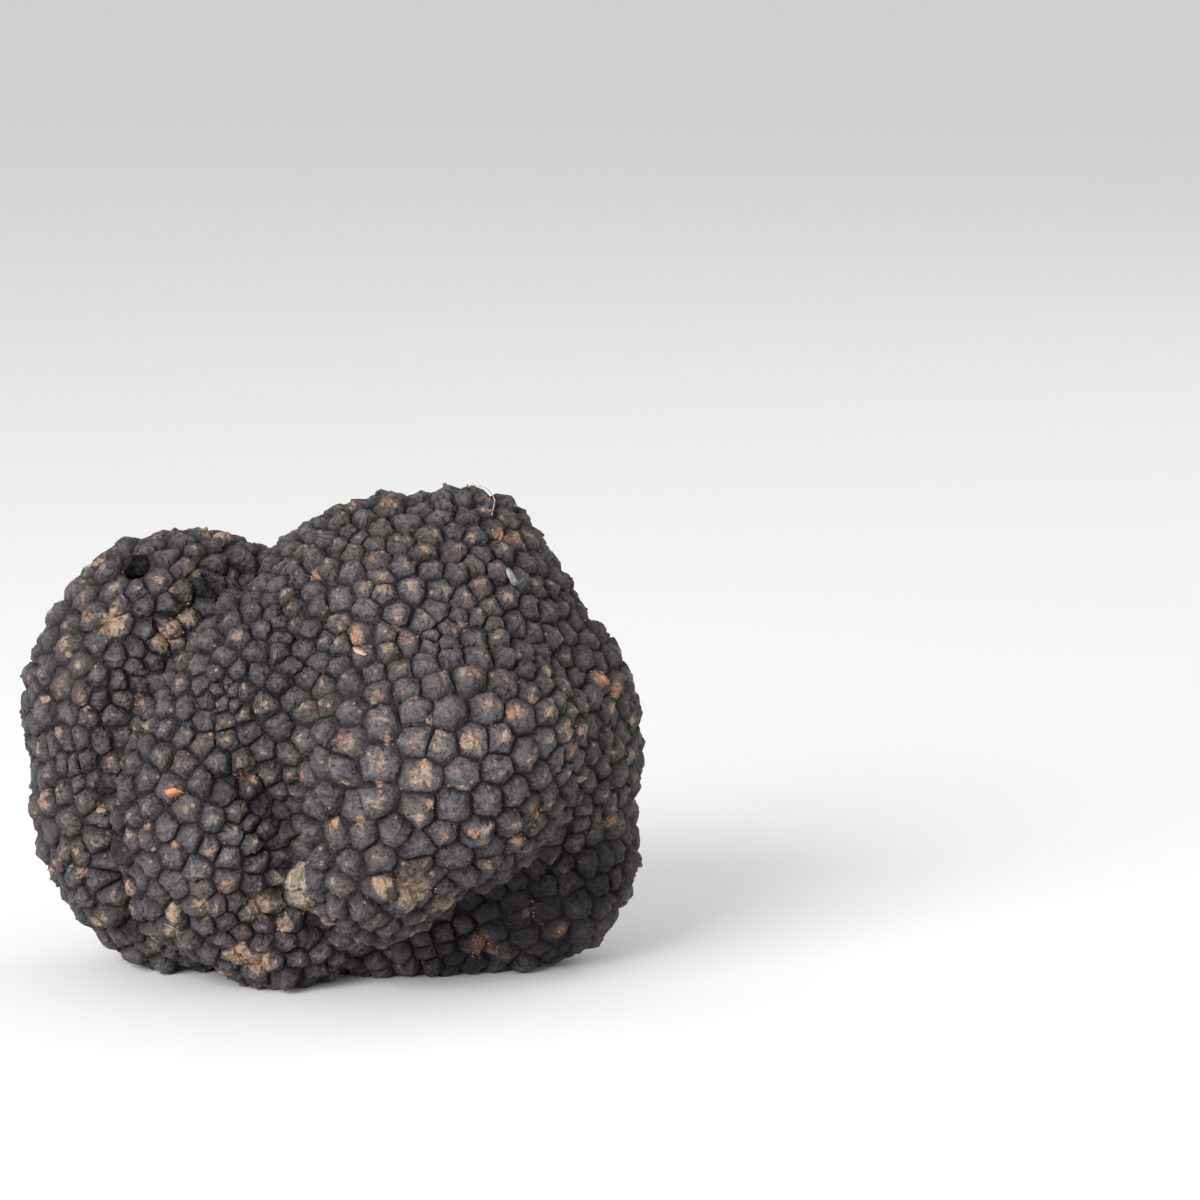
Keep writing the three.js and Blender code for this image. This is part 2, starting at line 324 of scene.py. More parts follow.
class SkinSettings(bpy.types.PropertyGroup):
    """The relief of the warts"""

    cuts: bpy.props.IntProperty(
        name="Cuts", description="Cuts in each edge of the solid's triangles", default=4, min=1, max=4
    )
    gather: number_setting("Gathering", "How much the cuts gather at the grooves; 1 is even", 1.55)
    steepness: number_setting(
        "Steepness", "How steeply a wart rises from its groove; 1 is a plain pyramid", 5.0
    )
    facet: number_setting("Facet share", "How much of the plain pyramid stays in a wart", 0.42)
    rounding: number_setting(
        "Rounding", "How much rounder a wart is than its patch; 1 is a full circle", 0.22
    )
    groove: length_setting("Groove depth", "How much deeper the grooves go", 0.28 * MM)
    wander: length_setting("Groove wander", "How far the grooves leave the straight line", 0.2 * MM)
    lump: length_setting("Lump height", "Height of the soft lumps on a wart", 0.2 * MM)
    knob: length_setting("Knob height", "Height of the small knobs on a wart", 0.34 * MM)
    knob_size: length_setting("Knob size", "From knob to knob", 0.8 * MM)
    furrow: length_setting(
        "Furrow depth", "Depth of the furrows that run down from a wart's crown", 0.28 * MM
    )
    worm_hole_radius: length_setting("Worm hole radius", "Radius of the worm hole at its rim", 1.45 * MM)
    worm_hole_slant: number_setting(
        "Worm hole slant", "How far the worm hole leans to the front; 1 is halfway", 2.2
    )
    big_wart: length_setting(
        "Big wart radius", "Radius of the one large round wart in the front fold", 2.25 * MM
    )


class LooseSettings(bpy.types.PropertyGroup):
    """What lies on the skin"""

    grain_count: count_setting("Crust grains", "Number of crust grains", 4500)
    least_grain: number_setting("Least grain", "Least radius of a crust grain in millimetres", 0.15)
    largest_grain: number_setting("Largest grain", "Largest radius of a crust grain in millimetres", 0.34)
    soil_count: count_setting("Soil crumbs", "Number of soil crumbs", 700)
    rust_count: count_setting("Rust crumbs", "Number of rust-coloured crumbs", 160)
    least_crumb: number_setting("Least crumb", "Least radius of a crumb in millimetres", 0.03)
    largest_crumb: number_setting("Largest crumb", "Largest radius of a crumb in millimetres", 0.11)
    flake_thickness: length_setting("Flake thickness", "Thickness of a flake", 0.08 * MM)
    unseen_flakes: count_setting(
        "Unseen flakes", "Flakes of each colour on the sides the picture doesn't show", 2
    )
    hair_radius: length_setting("Hair radius", "Radius of a root hair", 0.075 * MM)
    unseen_hairs: count_setting("Unseen hairs", "Root hairs on the sides the picture doesn't show", 4)


class ColourSettings(bpy.types.PropertyGroup):
    """The colours of the skin and of what lies on it"""

    charcoal: colour_setting("Charcoal", "The flanks of the warts", (0.029, 0.0245, 0.028))
    # Dust on the crowns, also standing for the sheen and light on them: partly painted highlight
    dust: colour_setting("Dust", "The dusty tops of the warts", (0.138, 0.1245, 0.131))
    umber: colour_setting("Umber", "The browner warts", (0.07, 0.052, 0.043))
    # Painted shade: the black of the grooves between the warts, also used for the small dark pits
    groove_shade_black: colour_setting("Groove black", "The bottom of the grooves", (0.024, 0.0195, 0.023))
    # Painted shade: the black of the deep folds, of the shaded low right side and under the belly
    fold_shade_black: colour_setting("Fold black", "The deep folds", (0.0135, 0.011, 0.0135))
    pale: colour_setting("Pale skin", "The palest warts", (0.49, 0.425, 0.34))
    ochre: colour_setting("Ochre", "The worn crowns", (0.41, 0.295, 0.198))
    rust: colour_setting("Rust", "The orange stains", (0.42, 0.2, 0.1))
    soil: colour_setting("Soil", "Dry soil", (0.43, 0.3, 0.205))
    hair: colour_setting("Root hair", "The pale root hairs", (0.62, 0.55, 0.45))
    grey_flake: colour_setting("Grey flake", "The grey flakes", (0.27, 0.29, 0.3))
    pink_flake: colour_setting("Pink flake", "The pale pink flakes", (0.42, 0.3, 0.24))
    orange_flake: colour_setting("Orange flake", "The orange flakes", (0.5, 0.2, 0.085))


def camera_axes(stage):
    """The camera's right, up and forward directions."""
    elevation = stage.camera_elevation
    forward = Vector((0, math.cos(elevation), -math.sin(elevation)))
    right = Vector((1, 0, 0))
    return right, right.cross(forward), forward


def camera_place(stage):
    """Where the camera stands, so that the truffle's middle is at its place in the picture."""
    right, up, forward = camera_axes(stage)
    half = PICTURE_SIDE / 2
    to_right = (half - TRUFFLE_MIDDLE_X) / stage.pixels_per_mm
    to_top = (TRUFFLE_MIDDLE_Y - half) / stage.pixels_per_mm
    aim = SOLID_MIDDLE + (right * to_right + up * to_top) * MM
    return aim - forward * stage.camera_distance


def sight_line(stage, x, y):
    """The direction in which the camera sees a pixel of the picture."""
    right, up, forward = camera_axes(stage)
    focal = stage.pixels_per_mm * stage.camera_distance / MM
    half = PICTURE_SIDE / 2
    return (forward + right * (x - half) / focal + up * (half - y) / focal).normalized()


def new_piece(name, bm, smooth=True):
    """A new object at the origin, made from a bmesh."""
    for face in bm.faces:
        face.smooth = smooth
    mesh = bpy.data.meshes.new(name)
    bm.to_mesh(mesh)
    bm.free()
    piece = bpy.data.objects.new(name, mesh)
    bpy.context.scene.collection.objects.link(piece)
    return piece


class Painter:
    """Adds shader nodes to one material.

    A socket's value may be a number, a colour or another node's output.
    """

    def __init__(self, name):
        self.material = bpy.data.materials.new(name)
        self.material.use_nodes = True
        self.tree = self.material.node_tree
        self.surface = self.tree.nodes["Principled BSDF"]

    def put(self, socket, value):
        """Links an output to a socket, or sets the socket to a number or a colour."""
        if isinstance(value, bpy.types.NodeSocket):
            self.tree.links.new(value, socket)
        elif socket.type == "RGBA":
            socket.default_value = (*value, 1)
        else:
            socket.default_value = value

    def node(self, kind, values=(), **settings):
        """A new node with its settings, and its input sockets by name or number."""
        made = self.tree.nodes.new(kind)
        for key, value in settings.items():
            setattr(made, key, value)
        for key, value in dict(values).items():
            self.put(made.inputs[key], value)
        return made

    def attribute(self, name):
        """A number or vector that the mesh carries."""
        return self.node("ShaderNodeAttribute", attribute_name=name)

    def place(self):
        """The point on the piece, in metres."""
        return self.node("ShaderNodeTexCoord").outputs["Object"]

    def noise(self, vector, size, detail=3.0, rough=0.55):
        """Noise from 0 to 1, whose lumps are about size metres across."""
        values = {"Vector": vector, "Scale": 1 / size, "Detail": detail, "Roughness": rough}
        return self.node("ShaderNodeTexNoise", values).outputs["Fac"]

    def cells(self, vector, size):
        """The distance to the nearest of scattered points that are about size metres apart, from 0."""
        values = {"Vector": vector, "Scale": 1 / size}
        return self.node("ShaderNodeTexVoronoi", values).outputs["Distance"]

    def maths(self, operation, a, b):
        """One sum worked out from two numbers."""
        return self.node("ShaderNodeMath", {0: a, 1: b}, operation=operation).outputs[0]

    def total(self, *terms, start=0.0):
        """The sum of some numbers, each times its weight, and of a start."""
        result = start
        for value, weight in terms:
            made = self.node("ShaderNodeMath", {0: value, 1: weight, 2: result}, operation="MULTIPLY_ADD")
            result = made.outputs[0]
        return result

    def step(self, value, low, high):
        """0 where the value is under low, 1 where it is over high, and smooth between."""
        values = {"Value": value, "From Min": low, "From Max": high}
        return self.node("ShaderNodeMapRange", values, interpolation_type="SMOOTHSTEP").outputs["Result"]

    def mix(self, share, a, b):
        """Colour a where the share is 0, and b where it is 1."""
        made = self.node("ShaderNodeMix", data_type="RGBA")
        self.put(made.inputs["Factor"], share)
        self.put(made.inputs[6], a)
        self.put(made.inputs[7], b)
        return made.outputs[2]

    def bump(self, height, depth, below=None):
        """A bump whose height, from 0 to 1, is depth metres deep, laid over another one."""
        values = {"Height": height, "Distance": depth, "Strength": 1.0}
        if below is not None:
            values["Normal"] = below
        return self.node("ShaderNodeBump", values).outputs["Normal"]

    def finish(self, **sockets):
        """Sets the surface's own sockets and returns the material."""
        for name, value in sockets.items():
            self.put(self.surface.inputs[name.replace("_", " ")], value)
        return self.material


def skin_material(colours):
    """Matte charcoal warts with painted shade in the grooves, the folds and the worm hole, crowns pale with
    dust and painted sheen, worn crowns, and stains of soil and rust.
    """
    paint = Painter("truffle skin")
    point = paint.place()
    crown = paint.attribute("crown").outputs["Fac"]
    soil = paint.attribute("soil").outputs["Fac"]
    rust = paint.attribute("rust").outputs["Fac"]
    dark = paint.attribute("dark").outputs["Fac"]
    dusty = paint.attribute("dusty").outputs["Fac"]
    pale = paint.attribute("pale").outputs["Fac"]
    spoke = paint.attribute("spoke").outputs["Vector"]
    wart = paint.node("ShaderNodeSeparateXYZ", {"Vector": spoke}).outputs["Z"]

    # Streaks that run down from the crown: noise that only changes with the direction from the crown
    flat = paint.node("ShaderNodeVectorMath", {0: spoke, 1: (1, 1, 0)}, operation="MULTIPLY").outputs[0]
    heading = paint.node("ShaderNodeVectorMath", {0: flat}, operation="NORMALIZE").outputs[0]
    lift = paint.node("ShaderNodeCombineXYZ", {"Z": paint.maths("MULTIPLY", wart, 40.0)}).outputs[0]
    turned = paint.node("ShaderNodeVectorMath", {0: heading, 1: lift}, operation="ADD").outputs[0]
    streak = paint.noise(turned, 0.45, detail=2.0)

    broad = paint.noise(point, 8 * MM, detail=2.0)
    patchy = paint.noise(point, 1.7 * MM, detail=3.0)
    fine = paint.noise(point, 0.6 * MM, detail=4.0, rough=0.65)
    grain = paint.noise(point, 0.18 * MM, detail=3.0, rough=0.6)

    # Charcoal on the flanks, and on the crowns pale dust that also stands for the sheen and light on them, a
    # painted highlight, with ragged borders
    tone = paint.total((crown, 0.75), (fine, 0.9), (patchy, 0.5), (streak, 0.6), (broad, 0.4), (wart, 0.15))
    dust = paint.step(paint.total((dusty, 0.25), start=tone), 1.25, 2.3)
    colour = paint.mix(dust, colours.charcoal, colours.dust)
    browner = paint.step(paint.total((wart, 1.0), (broad, 0.9)), 0.8, 1.4)
    colour = paint.mix(paint.maths("MULTIPLY", browner, 0.45), colour, colours.umber)
    pits = paint.step(paint.total((fine, 1.0), (grain, 0.5)), 0.72, 0.52)
    colour = paint.mix(paint.maths("MULTIPLY", pits, 0.6), colour, colours.groove_shade_black)

    paler = paint.step(paint.total((pale, 1.0), (patchy, 0.6), (fine, 0.4)), 0.95, 1.4)
    colour = paint.mix(paint.maths("MULTIPLY", paler, 0.85), colour, colours.pale)

    # Worn crowns, on most of the warts: soft blotches, tan or orange, larger on some warts than on others
    blotch = paint.noise(point, 1.1 * MM, detail=3.0)
    reach = paint.total((crown, 0.9), (blotch, 1.7), (fine, 0.2), (streak, 0.1), (wart, 0.3), (dusty, 0.24))
    worn = paint.step(reach, 1.91, 2.31)
    redder = paint.step(paint.noise(point, 2.5 * MM, detail=2.0), 0.5, 0.64)
    worn_colour = paint.mix(redder, colours.ochre, colours.rust)
    colour = paint.mix(paint.maths("MULTIPLY", worn, 0.75), colour, worn_colour)

    # Ragged flecks scattered everywhere
    near = paint.total((paint.cells(point, 1.3 * MM), 1.0), (fine, 0.5), start=-0.25)
    chosen = paint.step(paint.noise(point, 3 * MM, detail=0.0), 0.46, 0.56)
    fleck = paint.maths("MULTIPLY", paint.step(near, 0.2, 0.08), chosen)
    colour = paint.mix(paint.maths("MULTIPLY", fleck, 0.6), colour, worn_colour)

    # Painted shade: the grooves between the warts are painted near black, as shade falls in them
    groove = paint.step(paint.total((crown, 1.0), (fine, 0.3), (pale, 0.5)), 0.52, 0.2)
    groove_shade_strength = paint.maths("MULTIPLY", groove, paint.total((broad, 0.5), start=0.5))
    colour = paint.mix(groove_shade_strength, colour, colours.groove_shade_black)

    # Painted shade: the folds and the shaded low right side are painted nearly black, and stains show less
    # there
    colour = paint.mix(paint.maths("MULTIPLY", dark, 0.93), colour, colours.fold_shade_black)
    clear = paint.total((dark, -0.15), start=0.85)
    shown = paint.maths("MULTIPLY", clear, paint.total((dark, -0.65), start=1.0))

    # Smears of dry soil, which fill the grooves, and spots of rust
    smear = paint.total((soil, 1.0), (blotch, 1.5), (fine, 0.7), (crown, 0.1))
    soil_here = paint.step(smear, 1.62, 2.0)
    drier = paint.step(paint.total((grain, 0.3), (fine, 1.0)), 0.45, 0.85)
    soil_colour = paint.mix(paint.total((drier, 0.65), start=0.35), colours.umber, colours.soil)
    colour = paint.mix(paint.maths("MULTIPLY", soil_here, shown), colour, soil_colour)
    rust_here = paint.step(paint.total((rust, 1.0), (fine, 1.3)), 1.05, 1.7)
    rust_colour = paint.mix(paint.step(fine, 0.45, 0.7), colours.rust, colours.ochre)
    colour = paint.mix(paint.maths("MULTIPLY", rust_here, shown), colour, rust_colour)

    # Painted shade: the inside of the worm hole, where the crown's number is below 0, is painted nearly
    # black
    colour = paint.mix(paint.step(crown, -0.1, -0.5), colour, (0.001, 0.001, 0.001))

    knobs = paint.cells(point, 0.75 * MM)
    rough = paint.total((patchy, 0.3), (fine, 0.15), (soil_here, 0.25), start=0.4)
    crust = paint.cells(point, 0.4 * MM)
    normal = paint.bump(streak, 0.42 * MM)
    normal = paint.bump(paint.maths("SUBTRACT", 1.0, knobs), 0.35 * MM, normal)
    normal = paint.bump(fine, 0.3 * MM, normal)
    normal = paint.bump(paint.maths("SUBTRACT", 1.0, crust), 0.12 * MM, normal)
    normal = paint.bump(grain, 0.08 * MM, normal)
    return paint.finish(Base_Color=colour, Roughness=rough, Specular_IOR_Level=0.2, Normal=normal)


def grit_material(name, dark, light):
    """Dry, matte grains, each of its own tone."""
    paint = Painter(name)
    point = paint.place()
    tone = paint.attribute("tone").outputs["Fac"]
    mottled = paint.noise(point, 0.2 * MM, detail=3.0)
    share = paint.step(paint.maths("ADD", tone, mottled), 0.5, 1.4)
    colour = paint.mix(share, dark, light)
    normal = paint.bump(paint.noise(point, 0.08 * MM), 0.03 * MM)
    return paint.finish(Base_Color=colour, Roughness=0.9, Normal=normal)


def hair_material(colours):
    """Pale, slightly shiny root."""
    paint = Painter("root hair")
    streaks = paint.noise(paint.place(), 0.3 * MM, detail=2.0)
    colour = paint.mix(paint.step(streaks, 0.35, 0.7), colours.hair, colours.ochre)
    return paint.finish(Base_Color=colour, Roughness=0.5, Normal=paint.bump(streaks, 0.03 * MM))


def flake_material(name, light):
    """A scrap of skin or root, mottled and matte."""
    paint = Painter(name)
    mottled = paint.noise(paint.place(), 0.5 * MM, detail=4.0, rough=0.65)
    darker = tuple(0.45 * part for part in light)
    colour = paint.mix(paint.step(mottled, 0.35, 0.6), darker, tuple(light))
    return paint.finish(Base_Color=colour, Roughness=0.7, Normal=paint.bump(mottled, 0.08 * MM))


def floor_material(stage):
    """Plain pale card."""
    paint = Painter("floor")
    fibres = paint.noise(paint.place(), 2 * MM, detail=2.0)
    return paint.finish(Base_Color=stage.floor_colour, Roughness=0.9, Normal=paint.bump(fibres, 0.01 * MM))


def studio_sky(stage):
    """Even light all round, brighter at the horizon than above."""
    world = bpy.data.worlds.new("studio")
    world.use_nodes = True
    tree = world.node_tree
    direction = tree.nodes.new("ShaderNodeTexCoord").outputs["Generated"]
    parts = tree.nodes.new("ShaderNodeSeparateXYZ")
    strength = tree.nodes.new("ShaderNodeMapRange")
    strength.inputs["To Min"].default_value = stage.horizon_strength
    strength.inputs["To Max"].default_value = stage.sky_strength
    background = tree.nodes["Background"]
    background.inputs["Color"].default_value = (1, 1, 1, 1)
    tree.links.new(direction, parts.inputs["Vector"])
    tree.links.new(parts.outputs["Z"], strength.inputs["Value"])
    tree.links.new(strength.outputs["Result"], background.inputs["Strength"])
    return world


def find_crowns(bm):
    """The crown of every wart of the solid.

    Each triangle has one crown and two groove corners, so the far corner of the triangle across a groove is
    the next wart's crown. A groove corner always has six edges, so the vertex with most edges is a crown.
    """
    start = max(bm.verts, key=lambda vertex: len(vertex.link_edges))
    crowns = {start}
    waiting = [start]
    while waiting:
        crown = waiting.pop()
        for face in crown.link_faces:
            groove = next(edge for edge in face.edges if crown not in edge.verts)
            other = next(neighbour for neighbour in groove.link_faces if neighbour is not face)
            across = next(vertex for vertex in other.verts if vertex not in groove.verts)
            if across not in crowns:
                crowns.add(across)
                waiting.append(across)
    return sorted(crowns, key=lambda vertex: vertex.index)


def fold_depths(bm):
    """For each vertex, from 0 to 1, how far it lies below the same body with its folds smoothed away."""
    smoothed = bm.copy()
    for _ in range(FOLD_SMOOTHING):
        bmesh.ops.smooth_vert(
            smoothed, verts=smoothed.verts, factor=0.5, use_axis_x=True, use_axis_y=True, use_axis_z=True
        )
    smoothed.verts.ensure_lookup_table()
    depths = [(smoothed.verts[v.index].co - v.co).dot(v.normal) / DEEPEST_FOLD for v in bm.verts]
    smoothed.free()
    return [min(1.0, max(0.0, depth)) for depth in depths]


def cut_solid(cuts):
    """The solid's triangles cut finer, with each vertex's share of crown and of fold.

    Returns the bmesh, and the tops, the outward directions and the radii of the warts.
    """
    bm = bmesh.new()
    bm.from_mesh(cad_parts["truffle"].data)
    crown_share = bm.verts.layers.float.new("crown")
    fold_share = bm.verts.layers.float.new("fold")
    wart_number = bm.faces.layers.int.new("wart")
    bmesh.ops.remove_doubles(bm, verts=bm.verts, dist=0.001 * MM)
    bm.normal_update()
    for vertex, depth in zip(bm.verts, fold_depths(bm)):
        vertex[fold_share] = depth

    crowns = find_crowns(bm)
    for number, crown in enumerate(crowns):
        crown[crown_share] = 1.0
        for face in crown.link_faces:
            face[wart_number] = number
    tops = np.array([crown.co for crown in crowns])
    ups = unit(np.array([crown.normal for crown in crowns]))
    radii = np.array([np.mean([edge.calc_length() for edge in crown.link_edges]) for crown in crowns])
    bmesh.ops.subdivide_edges(bm, edges=bm.edges, cuts=cuts, use_grid_fill=True)
    return bm, tops, ups, radii


def unit(rows):
    """Rows of vectors made one long."""
    return rows / np.maximum(np.linalg.norm(rows, axis=1, keepdims=True), 1e-12)


def dots(a, b):
    """The dot product of each row of a with the same row of b."""
    return np.einsum("ij,ij->i", a, b)


def read_rows(items, name, width):
    """One property of all of a mesh's items, as rows of numbers, or as one number each."""
    values = np.zeros(len(items) * width, np.float32)
    items.foreach_get(name, values)
    values = values.astype(float)
    return values.reshape(-1, width) if width > 1 else values


def add_numbers(mesh, name, values):
    """Gives each vertex of a mesh a number that the material reads."""
    mesh.attributes.new(name, "FLOAT", "POINT").data.foreach_set("value", values.astype(np.float32))


class WartySkin:
    """The fine skin as arrays, with the wart that each vertex is on.

    The share is 0 in a groove and 1 on a crown. A vertex between them starts on the straight line from a
    point in the groove, its foot, to the crown.
    """

    def __init__(self, mesh, tops, ups, radii):
        self.mesh = mesh
        self.tops, self.ups, self.radii = tops, ups, radii
        self.start = read_rows(mesh.vertices, "co", 3)
        self.normals = read_rows(mesh.vertices, "normal", 3)
        self.share = read_rows(mesh.attributes["crown"].data, "value", 1)

        wart_of_face = np.zeros(len(mesh.polygons), np.int32)
        mesh.attributes["wart"].data.foreach_get("value", wart_of_face)
        self.corners = np.zeros(len(mesh.loops), np.int32)
        mesh.loops.foreach_get("vertex_index", self.corners)
        self.wart_of_corner = np.repeat(wart_of_face, 3)
        self.wart = np.zeros(len(self.start), np.int32)
        self.wart[self.corners] = self.wart_of_corner

        share = self.share[:, None]
        self.foot = (self.start - share * tops[self.wart]) / np.maximum(1 - share, 0.01)
        self.foot[self.share >= 0.99] = tops[self.wart[self.share >= 0.99]]
        self.points = self.start.copy()

    def round_over(self, settings):
        """Each pyramid becomes a dome, rounder in outline than its patch, with a narrow groove round it."""
        up = self.ups[self.wart]
        to_foot = self.foot - self.tops[self.wart]
        drop = dots(to_foot, up)
        level = to_foot - up * drop[:, None]
        distance = np.maximum(np.linalg.norm(level, axis=1), 0.01 * MM)
        sums = np.bincount(self.wart, distance, len(self.tops))
        mean = (sums / np.bincount(self.wart, minlength=len(self.tops)))[self.wart]

        along = self.share**settings.gather
        rounding = settings.rounding * np.minimum(1, self.share / 0.4)
        out = np.minimum((1 - along) * (mean / distance) ** rounding, 1 - 0.5 * along)
        height = (1 - settings.facet) * (1 - (1 - along) ** settings.steepness) + settings.facet * along
        dome = self.tops[self.wart] + level * out[:, None] + up * (drop * (1 - height))[:, None]
        inside = (self.share > 0.01) & (self.share < 0.99)
        self.points[inside] = dome[inside]
        self.along = along

    def sink_grooves(self, settings):
        """The grooves go deeper, more so here and there."""
        uneven = 1 + 0.6 * self.noise_at(UNEVEN_SIZE)
        near_groove = np.clip(1 - self.share / 0.25, 0, 1)
        self.points -= self.normals * (settings.groove * uneven * near_groove)[:, None]

    def furrow(self, settings, rng):
        """Furrows run down the flanks from the crown."""
        east, north = wart_axes(self.ups)
        offset = self.start - self.tops[self.wart]
        turn = np.arctan2(dots(offset, north[self.wart]), dots(offset, east[self.wart]))
        wave = np.zeros(len(turn))
        for waves in FURROW_WAVES:
            phase = rng.uniform(0, 2 * math.pi, len(self.tops))
            wave += np.sin(waves * turn + phase[self.wart]) / 2
        depth = settings.furrow * self.radii[self.wart] / WART_RADIUS * np.sin(math.pi * self.along)
        self.points -= self.ups[self.wart] * (np.clip(wave, 0, 1.5) * depth)[:, None]

    def roughen(self, settings):
        """Knobs and lumps on the warts, and grooves that wander."""
        knobs = np.array([noise.voronoi(Vector(point) / settings.knob_size)[0][0] for point in self.start])
        lump = self.noise_at(LUMP_SIZE) + 0.5 * self.noise_at(FINE_LUMP_SIZE)
        on_wart = np.clip(self.share * 2.5, 0.2, 1)
        rise = settings.lump * lump + settings.knob * (0.5 - knobs)
        self.points += self.normals * (rise * on_wart)[:, None]

        drift = np.array([noise.noise_vector(Vector(point) / BEND_SIZE) for point in self.start])
        self.points += (drift - self.normals * dots(drift, self.normals)[:, None]) * settings.wander

    def noise_at(self, size):
        """Noise from about -1 to 1 at each vertex, whose lumps are about size metres across."""
        return np.array([noise.noise(Vector(point) / size) for point in self.start])

    def swell_wart(self, settings, place):
        """The skin near a place is pushed out to a ball, which makes one large round wart."""
        middle = np.array(place) + np.array([0, BIG_WART_SINK, 0]) * settings.big_wart
        offset = self.points - middle
        distance = np.linalg.norm(offset, axis=1) / settings.big_wart
        near = np.clip((BIG_WART_REACH - distance) / (BIG_WART_REACH - 1), 0, 1)
        pull = (near * near * (3 - 2 * near))[:, None]
        radius = settings.big_wart * (1 + BIG_WART_LUMPS * self.noise_at(LUMP_SIZE))
        self.points += (middle + unit(offset) * radius[:, None] - self.points) * pull

    def open_worm_hole(self, settings):
        """The wart whose crown lies deepest below its groove becomes a round hole, slanting to the front."""
        drop = dots(self.foot - self.tops[self.wart], self.ups[self.wart])
        hole = self.wart[np.argmax(np.where((self.share > 0.3) & (self.share < 0.7), drop, -1))]
        up = self.ups[hole]
        axis = up + np.array([0, -settings.worm_hole_slant, 0])
        axis /= np.linalg.norm(axis)
        mine = (self.wart == hole) & (self.share > 0.01)
        middle = self.foot[mine & (self.share < 0.99)].mean(axis=0)
        outward = self.start[mine] - middle
        outward = unit(outward - axis * (outward @ axis)[:, None])
        share = self.share[mine]
        shares, ring_radii, ring_depths = np.array(WORM_HOLE_RINGS).T
        radius = np.interp(share, shares, ring_radii) * settings.worm_hole_radius
        radius[share > 0.99] = 0
        depth = np.interp(share, shares, ring_depths) * MM
        on_surface = -radius * (outward @ up) / (axis @ up)
        self.points[mine] = middle + outward * radius[:, None] + axis * (on_surface - depth)[:, None]
        # The inside of the hole gets a crown number below 0, which the material paints near black as painted
        # shade
        self.share[mine] = np.where(share < 0.3, 0.4, -1)

    def write(self, rng):
        """Puts the points and the material's numbers into the mesh. The flat spots stay on the ground."""
        grounded = self.start[:, 2] < 0.01 * MM
        self.points[grounded, 2] = 0
        self.points[:, 2] = np.maximum(self.points[:, 2], 0)
        self.mesh.vertices.foreach_set("co", self.points.astype(np.float32).ravel())
        self.mesh.attributes["crown"].data.foreach_set("value", self.share.astype(np.float32))

        # The place of each corner on its own wart, in wart radii, and the wart's own random number
        east, north = wart_axes(self.ups)
        wart = self.wart_of_corner
        offset = (self.start[self.corners] - self.tops[wart]) / self.radii[wart][:, None]
        lot = rng.uniform(0, 1, len(self.tops))[wart]
        spoke = np.stack([dots(offset, east[wart]), dots(offset, north[wart]), lot], axis=1)
        layer = self.mesh.attributes.new("spoke", "FLOAT_VECTOR", "CORNER")
        layer.data.foreach_set("vector", spoke.astype(np.float32).ravel())
        self.mesh.update()


def wart_axes(ups):
    """Two directions across each wart's own."""
    helper = np.where(np.abs(ups[:, :1]) < 0.8, [[1.0, 0, 0]], [[0, 1.0, 0]])
    east = unit(np.cross(ups, helper))
    return east, np.cross(ups, east)


def skin_tree():
    """The finished skin as a tree for ray casts."""
    skin = bpy.data.objects["truffle_skin"]
    return BVHTree.FromObject(skin, bpy.context.evaluated_depsgraph_get())


def seen_point(tree, x, y):
    """The point of the skin at a pixel of the picture, and the skin's direction there."""
    stage = bpy.context.scene.truffle_stage
    place, normal, _, _ = tree.ray_cast(camera_place(stage), sight_line(stage, x, y))
    if place is None:
        raise RuntimeError(f"nothing is seen at pixel {x}, {y}")
    return place, normal


def unseen_point(tree, rng):
    """A random point of the skin on the back, the sides or below, and the skin's direction there."""
    while True:
        heading = Vector((rng.uniform(-1, 1), rng.uniform(0.15, 1), rng.uniform(-0.8, 0.9))).normalized()
        place, normal, _, _ = tree.ray_cast(SOLID_MIDDLE + heading * 0.1, -heading)
        if place is not None:
            return place, normal


def stain_strength(tree, points, picked, unseen, radii, seed):
    """For each point, from 0 to 1, how near it is to a stain. There are more stains on the unseen sides."""
    stains = [(seen_point(tree, x, y)[0], radius * MM) for x, y, radius in picked.values()]
    rng = random.Random(seed)
    for _ in range(unseen):
        stains.append((unseen_point(tree, rng)[0], rng.uniform(*radii) * MM))
    strength = np.zeros(len(points))
    for middle, radius in stains:
        distance = np.linalg.norm(points - np.array(middle), axis=1) / radius
        strength = np.maximum(strength, np.clip(STAIN_REACH - distance, 0, 1))
    return strength


def many_lumps(bm, count):
    """Adds many icospheres of radius 1 to an empty bmesh, and returns the corners of each.

    Doubling them all at once is far quicker than making them one by one.
    """
    corners = len(bmesh.ops.create_icosphere(bm, subdivisions=1, radius=1)["verts"])
    while len(bm.verts) < count * corners:
        bmesh.ops.duplicate(bm, geom=bm.verts[:] + bm.edges[:] + bm.faces[:])
    bmesh.ops.delete(bm, geom=bm.verts[count * corners :], context="VERTS")
    every = bm.verts[:]
    return [every[start : start + corners] for start in range(0, len(every), corners)]


